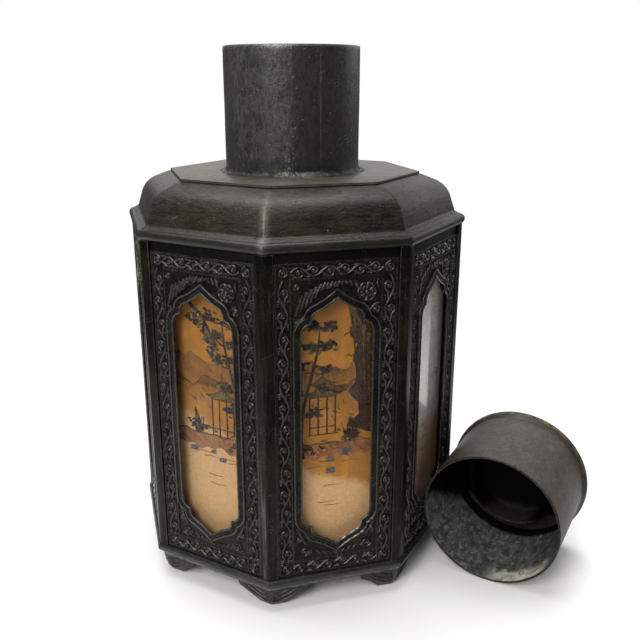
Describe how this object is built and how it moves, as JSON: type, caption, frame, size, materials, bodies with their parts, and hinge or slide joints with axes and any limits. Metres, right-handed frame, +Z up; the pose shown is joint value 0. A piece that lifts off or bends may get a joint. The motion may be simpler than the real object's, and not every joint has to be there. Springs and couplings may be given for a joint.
{
  "type": "tea caddy",
  "caption": "Octagonal pewter tea caddy with pierced panels over glazed pictures, bracket feet, a moulded shoulder, a round neck and a push-on cap lying beside it.",
  "frame": {"origin": "on the caddy's axis, at the level of the feet's soles", "axes": "+Z up along the caddy's axis through the neck, -Y towards the front face, the cap lying off towards +X and -Y"},
  "size_m": [0.153, 0.1316, 0.1788],
  "materials": {
    "aged_pewter": "dark patina, worn bright on edges",
    "solder": "rough, pitted",
    "cap_pewter": "dull, dark grey",
    "window_glass": "old flat glass",
    "picture_card": "amber varnished picture"
  },
  "bodies": {
    "caddy": {"base_plate": "aged_pewter", "foot_1": "aged_pewter", "foot_2": "aged_pewter", "foot_3": "aged_pewter", "foot_4": "aged_pewter", "foot_5": "aged_pewter", "foot_6": "aged_pewter", "foot_7": "aged_pewter", "foot_8": "aged_pewter", "side_panel_1": "aged_pewter", "side_panel_2": "aged_pewter", "side_panel_3": "aged_pewter", "side_panel_4": "aged_pewter", "side_panel_5": "aged_pewter", "side_panel_6": "aged_pewter", "side_panel_7": "aged_pewter", "side_panel_8": "aged_pewter", "corner_post_1": "aged_pewter", "corner_post_2": "aged_pewter", "corner_post_3": "aged_pewter", "corner_post_4": "aged_pewter", "corner_post_5": "aged_pewter", "corner_post_6": "aged_pewter", "corner_post_7": "aged_pewter", "corner_post_8": "aged_pewter", "inner_liner": "aged_pewter", "shoulder": "aged_pewter", "top_plate": "aged_pewter", "neck": "aged_pewter", "neck_solder": "solder", "glass_pane_1": "window_glass", "glass_pane_2": "window_glass", "glass_pane_3": "window_glass", "glass_pane_4": "window_glass", "glass_pane_5": "window_glass", "glass_pane_6": "window_glass", "glass_pane_7": "window_glass", "glass_pane_8": "window_glass", "picture_card_1": "picture_card", "picture_card_2": "picture_card", "picture_card_3": "picture_card", "picture_card_4": "picture_card", "picture_card_5": "picture_card", "picture_card_6": "picture_card", "picture_card_7": "picture_card", "picture_card_8": "picture_card"},
    "cap": {"cap_shell": "cap_pewter", "cap_top": "cap_pewter", "cap_collar": "cap_pewter"}
  },
  "joints": [
    {"name": "cap_lift", "type": "slide", "parent": "caddy", "child": "cap", "axis": [0.0739, -0.0739, 0.9945], "range_m": [0, 0.2]}
  ]
}
